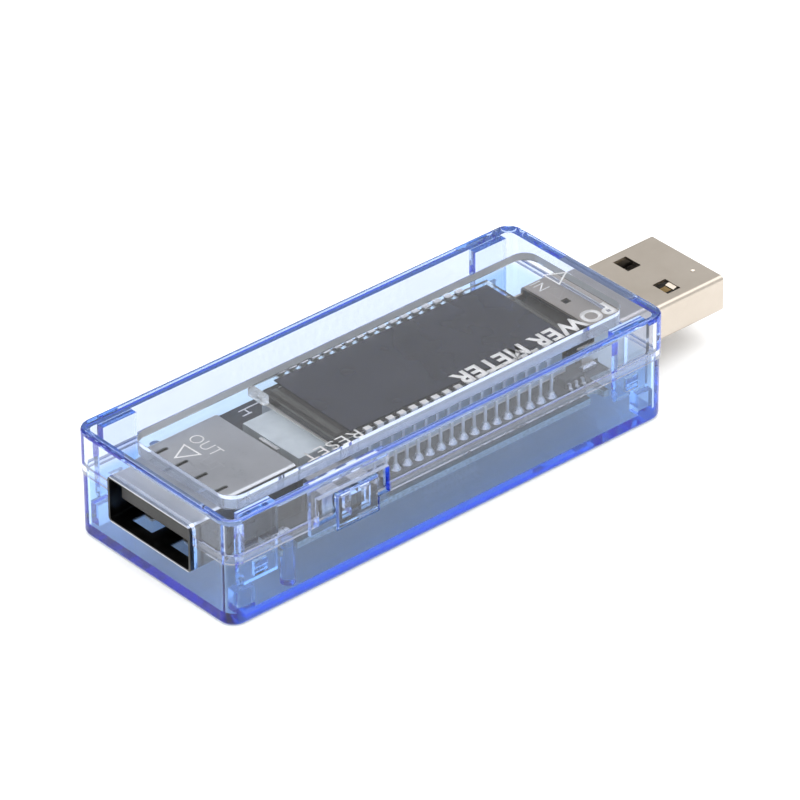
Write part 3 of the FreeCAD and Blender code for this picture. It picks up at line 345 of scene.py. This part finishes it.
def board_mask(name):
    """Dark solder mask over raised copper tracks, with the routed laminate bare at the board's edges."""
    shader = Shader(name)
    tracks = shader.add("TexBrick", {"Vector": shader.place(), "Scale": 420.0, "Mortar Size": 0.012,
                                     "Mortar Smooth": 0.2, "Brick Width": 0.9, "Row Height": 0.34,
                                     "Color1": (0, 0, 0, 1), "Color2": (0.25, 0.25, 0.25, 1),
                                     "Mortar": (1, 1, 1, 1)}).outputs["Color"]
    weave = shader.noise(0.2 * MM, 3.0)
    fibres = shader.noise(0.16 * MM, 4.0, 0.7, (0.35, 0.35, 1.6))
    mask = shader.ramp(shader.sum(tracks, weave, 0.3), (0.014, 0.017, 0.024), (0.040, 0.050, 0.066),
                       (0.1, 1.0))
    laminate = shader.ramp(fibres, (0.22, 0.22, 0.20), (0.78, 0.77, 0.72), (0.36, 0.62))
    colour = shader.mix(sheer(shader), mask, laminate)
    relief = shader.sum(shader.sum(tracks, weave, 0.15), fibres, 0.4)
    return shader.principled(Base_Color=colour, Roughness=shader.span(weave, 0.30, 0.5),
                             Normal=shader.bump(relief, 0.03 * MM), Coat_Weight=0.2, Coat_Roughness=0.25)


def polarizer_film(name):
    """Dark blue film with a smooth face."""
    shader = Shader(name)
    wipe = shader.noise(0.3 * MM, 3.0, 0.5, (0.15, 1, 1))
    tone = shader.noise(7 * MM, 2.0)
    colour = shader.ramp(tone, (0.014, 0.019, 0.040), (0.028, 0.034, 0.062), (0.3, 0.7))
    return shader.principled(Base_Color=colour, Roughness=shader.span(wipe, 0.10, 0.2),
                             Normal=shader.bump(tone, 0.004 * MM))


def milky(name, colour, shade, rough):
    """White or milky plastic that light sinks into a little."""
    shader = Shader(name)
    cloud = shader.noise(1.6 * MM, 3.0)
    fine = shader.noise(0.1 * MM, 2.0)
    tint = shader.ramp(cloud, shade, colour, (0.3, 0.7))
    return shader.principled(Base_Color=tint, Roughness=shader.span(fine, rough * 0.8, rough * 1.2),
                             Normal=shader.bump(fine, 0.004 * MM), Coat_Weight=0.25, Coat_Roughness=0.15)


def ink(name):
    """Pad-printed white ink, a little uneven."""
    shader = Shader(name)
    cover = shader.noise(0.12 * MM, 3.0)
    colour = shader.ramp(cover, (0.80, 0.82, 0.86), (0.96, 0.96, 0.97), (0.25, 0.6))
    return shader.principled(Base_Color=colour, Roughness=shader.span(cover, 0.4, 0.6),
                             Normal=shader.bump(cover, 0.004 * MM))


def make_materials():
    """One material for each of the record's slots."""
    return {
        "casing_blue": clear_blue("casing_blue", PLASTIC_DENSITY, 0.03),
        "window_clear": clear_window("window_clear"),
        "button_blue": clear_blue("button_blue", BUTTON_DENSITY, 0.05),
        "plug_nickel": metal("plug_nickel", (0.55, 0.49, 0.42), (0.62, 0.56, 0.49), 0.32),
        "socket_nickel": socket_sheet("socket_nickel"),
        "black_plastic": moulded("black_plastic", grey(0.006), grey(0.016), 0.42),
        # gold colour darkened with painted shade, because the contacts sit in the shade inside the socket
        "contact_gold": metal("contact_gold", (0.42, 0.30, 0.13), (0.60, 0.46, 0.24), 0.3),
        "board_black": board_mask("board_black"),
        "display_glass": clear_glass("display_glass"),
        "polarizer_dark": polarizer_film("polarizer_dark"),
        "seal_epoxy": clear_epoxy("seal_epoxy"),
        "guide_white": milky("guide_white", (0.66, 0.74, 0.80), (0.56, 0.64, 0.71), 0.3),
        "film_white": milky("film_white", grey(0.86), grey(0.78), 0.5),
        "tinned_metal": metal("tinned_metal", (0.86, 0.86, 0.87), (0.95, 0.95, 0.96), 0.55, (1, 1, 1)),
        "solder": solder_metal("solder"),
        "chip_black": moulded("chip_black", (0.012, 0.012, 0.013), (0.030, 0.030, 0.032), 0.6),
        "ceramic_tan": moulded("ceramic_tan", (0.26, 0.17, 0.10), (0.40, 0.28, 0.18), 0.5),
        "lamp_white": milky("lamp_white", (0.62, 0.64, 0.66), (0.52, 0.54, 0.56), 0.35),
        "steel_sheet": metal("steel_sheet", (0.52, 0.52, 0.53), (0.70, 0.70, 0.71), 0.25),
    }


def dress_nodes(materials):
    """Every CAD node gets the material of the slot it was packed with."""
    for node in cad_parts.values():
        for slot in node.material_slots:
            slot.material = materials[slot.material.name.split(".")[0]]


# ---------------------------------------------------------------- pieces

def piece_from(name, mesh, material, body="casing"):
    """A new piece from a mesh, riding on a body."""
    piece = bpy.data.objects.new(name, mesh)
    bpy.context.scene.collection.objects.link(piece)
    mesh.materials.clear()
    mesh.materials.append(material)
    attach(piece, body)
    return piece


# ---------------------------------------------------------------- printing on the casing

INK_BELOW = 0.006 * MM
INK_THICKNESS = 0.02 * MM
SILK_ABOVE = 0.02 * MM
SILK_THICKNESS = 0.015 * MM
SILK_WIDTH = 0.2 * MM
ARROW_WIDTH = 0.2 * MM
MITRE_LIMIT = 0.3
DOWN_Y = (Vector((0, -1, 0)), Vector((1, 0, 0)))
DOWN_X = (Vector((-1, 0, 0)), Vector((0, -1, 0)))


def casing_middle():
    low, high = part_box("upper_shell")
    return (low.x + high.x) / 2


def ink_level():
    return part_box("upper_shell")[1].z - INK_BELOW


def word_mesh(words, weight, spacing):
    """The words as a mesh with its lower left corner at the origin, one unit long and one high."""
    curve = bpy.data.curves.new("words", "FONT")
    curve.body = words
    curve.offset = weight
    curve.space_character = spacing
    holder = bpy.data.objects.new("words", curve)
    bpy.context.scene.collection.objects.link(holder)
    bpy.context.view_layer.update()
    mesh = bpy.data.meshes.new_from_object(holder.evaluated_get(bpy.context.evaluated_depsgraph_get()))
    bpy.data.objects.remove(holder)
    bpy.data.curves.remove(curve)
    xs = [vertex.co.x for vertex in mesh.vertices]
    ys = [vertex.co.y for vertex in mesh.vertices]
    for vertex in mesh.vertices:
        vertex.co.x = (vertex.co.x - min(xs)) / (max(xs) - min(xs))
        vertex.co.y = (vertex.co.y - min(ys)) / (max(ys) - min(ys))
    return mesh


def thicken(mesh, depth):
    """Give a flat mesh a thickness below it."""
    shape = bmesh.new()
    shape.from_mesh(mesh)
    bmesh.ops.remove_doubles(shape, verts=shape.verts, dist=1e-7)
    made = bmesh.ops.extrude_face_region(shape, geom=shape.faces[:])
    lower = [item for item in made["geom"] if isinstance(item, bmesh.types.BMVert)]
    bmesh.ops.translate(shape, verts=lower, vec=(0, 0, depth))
    bmesh.ops.recalc_face_normals(shape, faces=shape.faces)
    shape.to_mesh(mesh)
    shape.free()


def print_words(name, words, start, heading, length, height, material, weight=0.0, spacing=1.0):
    """Printed words: start is the lower left corner of the first letter, in mm from the casing's middle."""
    mesh = word_mesh(words, weight, spacing)
    reading, up = heading
    columns = (reading * length * MM, up * height * MM, Vector((0, 0, 1)))
    corner = Vector((casing_middle() + start[0] * MM, start[1] * MM, ink_level()))
    mesh.transform(Matrix.Translation(corner) @ Matrix(columns).transposed().to_4x4())
    thicken(mesh, -INK_THICKNESS)
    return piece_from(name, mesh, material)


def ribbon_mesh(name, points, width, level, thickness, closed=False):
    """A flat line of even width through points, in metres, with mitred corners."""
    count = len(points)
    flat = [Vector(point) for point in points]
    shape = bmesh.new()
    rails = []
    for index, point in enumerate(flat):
        before = flat[index - 1] if closed or index else None
        after = flat[(index + 1) % count] if closed or index < count - 1 else None
        steps = [step.normalized() for step in ((point - before) if before is not None else None,
                                                (after - point) if after is not None else None)
                 if step is not None]
        normals = [Vector((-step.y, step.x)) for step in steps]
        mitre = sum(normals, Vector((0, 0))).normalized()
        reach = width / 2 / max(mitre.dot(normals[0]), MITRE_LIMIT)
        rails.append([shape.verts.new((*(point + mitre * reach * side), level)) for side in (1, -1)])
    last = count if closed else count - 1
    for index in range(last):
        here, there = rails[index], rails[(index + 1) % count]
        shape.faces.new((here[0], here[1], there[1], there[0]))
    mesh = bpy.data.meshes.new(name)
    shape.to_mesh(mesh)
    shape.free()
    thicken(mesh, -thickness)
    return mesh


def print_arrow(name, corners, material):
    """An outlined triangle, its corners in mm from the casing's middle."""
    points = [(casing_middle() + x * MM, y * MM) for x, y in corners]
    mesh = ribbon_mesh(name, points, ARROW_WIDTH, ink_level(), INK_THICKNESS, closed=True)
    return piece_from(name, mesh, material)


def print_casing(material):
    """The words and arrows on the casing's top."""
    print_words("print_out", "OUT", (-24.0, 2.7), DOWN_Y, 4.45, 1.6, material, -0.008, 1.05)
    print_arrow("print_out_arrow", ((-24.87, 2.01), (-24.79, -0.53), (-27.18, 0.74)), material)
    print_words("print_reset", "RESET", (-9.5, -7.7), DOWN_X, 7.8, 1.6, material, -0.004, 1.08)
    print_words("print_title", "POWER METER", (27.3, -6.6), DOWN_X, 22.6, 2.5, material, 0.036, 1.1)
    print_words("print_in", "IN", (23.6, 1.27), DOWN_Y, 1.72, 1.5, material, -0.008, 1.05)
    print_arrow("print_in_arrow", ((26.24, 1.77), (26.23, -0.72), (28.41, 0.6)), material)


def print_board(material):
    """White silk lines on the board beside the display's tab, in mm from the casing's middle."""
    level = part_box("circuit_board")[1].z + SILK_ABOVE
    lines = {"silk_rail": ((-10.7, 10.17), (-7.5, 10.17)),
             "silk_foot": ((-9.9, 10.1), (-9.9, 9.3)),
             "silk_bar": ((-10.9, 9.2), (-9.6, 9.2))}
    for name, points in lines.items():
        flat = [(casing_middle() + x * MM, y * MM) for x, y in points]
        mesh = ribbon_mesh(name, flat, SILK_WIDTH, level, SILK_THICKNESS)
        piece_from(name, mesh, material)


# ---------------------------------------------------------------- studio

FLOOR_GAP = 0.05 * MM
FLOOR_REACH = 3.0
PAPER_GLOW = 0.16
SKY_OVERHEAD = 2.6
SKY_FAR = 0.52
SKY_NEAR = 1.0
SKY_TURN = (-0.3, 0.35)        # towards the far side, where the near level starts and ends giving way
SKY_LIFT = (0.62, 0.82)        # height at which the overhead light starts and is full


def add_floor():
    """A sheet of white paper under the object."""
    shape = bmesh.new()
    bmesh.ops.create_grid(shape, x_segments=4, y_segments=4, size=FLOOR_REACH)
    mesh = bpy.data.meshes.new("floor")
    shape.to_mesh(mesh)
    shape.free()
    floor = bpy.data.objects.new("floor", mesh)
    floor.location.z = -FLOOR_GAP
    bpy.context.scene.collection.objects.link(floor)
    shader = Shader("floor_paper")
    fibre = shader.noise(2 * MM, 4.0)
    colour = shader.ramp(fibre, grey(0.86), grey(0.90), (0.3, 0.7))
    mesh.materials.append(shader.principled(Base_Color=colour, Roughness=0.9, Emission_Color=(1, 1, 1, 1),
                                            Emission_Strength=PAPER_GLOW))


def add_sky():
    """A white tent of light: brightest overhead, dimmer on the far side, softer on the near side."""
    world = bpy.data.worlds.new("studio")
    bpy.context.scene.world = world
    world.use_nodes = True
    sky = Shader("studio", world.node_tree)
    direction = sky.add("TexCoord").outputs["Generated"]
    parts = sky.add("SeparateXYZ", {"Vector": direction}).outputs
    azimuth = math.radians(CAMERA_AZIMUTH)
    toward = sky.add("VectorMath", {0: direction, 1: (math.sin(azimuth), math.cos(azimuth), 0)},
                     operation="DOT_PRODUCT").outputs["Value"]
    level = sky.span(toward, SKY_NEAR, SKY_FAR, SKY_TURN)
    height = sky.add("MapRange", {"Value": parts["Z"], "From Min": SKY_LIFT[0], "From Max": SKY_LIFT[1],
                                  "To Min": 0.0, "To Max": 1.0},
                     interpolation_type="SMOOTHSTEP").outputs["Result"]
    rest = sky.add("Math", {0: SKY_OVERHEAD, 1: level}, operation="SUBTRACT").outputs["Value"]
    lift = sky.add("Math", {0: rest, 1: height}, operation="MULTIPLY").outputs["Value"]
    strength = sky.add("Math", {0: level, 1: lift}, operation="ADD").outputs["Value"]
    light = sky.add("Background", {"Color": (1.0, 1.0, 1.0, 1), "Strength": strength}).outputs["Background"]
    sky.add("OutputWorld", {"Surface": light})


# ---------------------------------------------------------------- assembly

add_camera()
set_up_renderer()
materials = make_materials()
dress_nodes(materials)
white_ink = ink("print_white")
print_casing(white_ink)
print_board(white_ink)
add_floor()
add_sky()
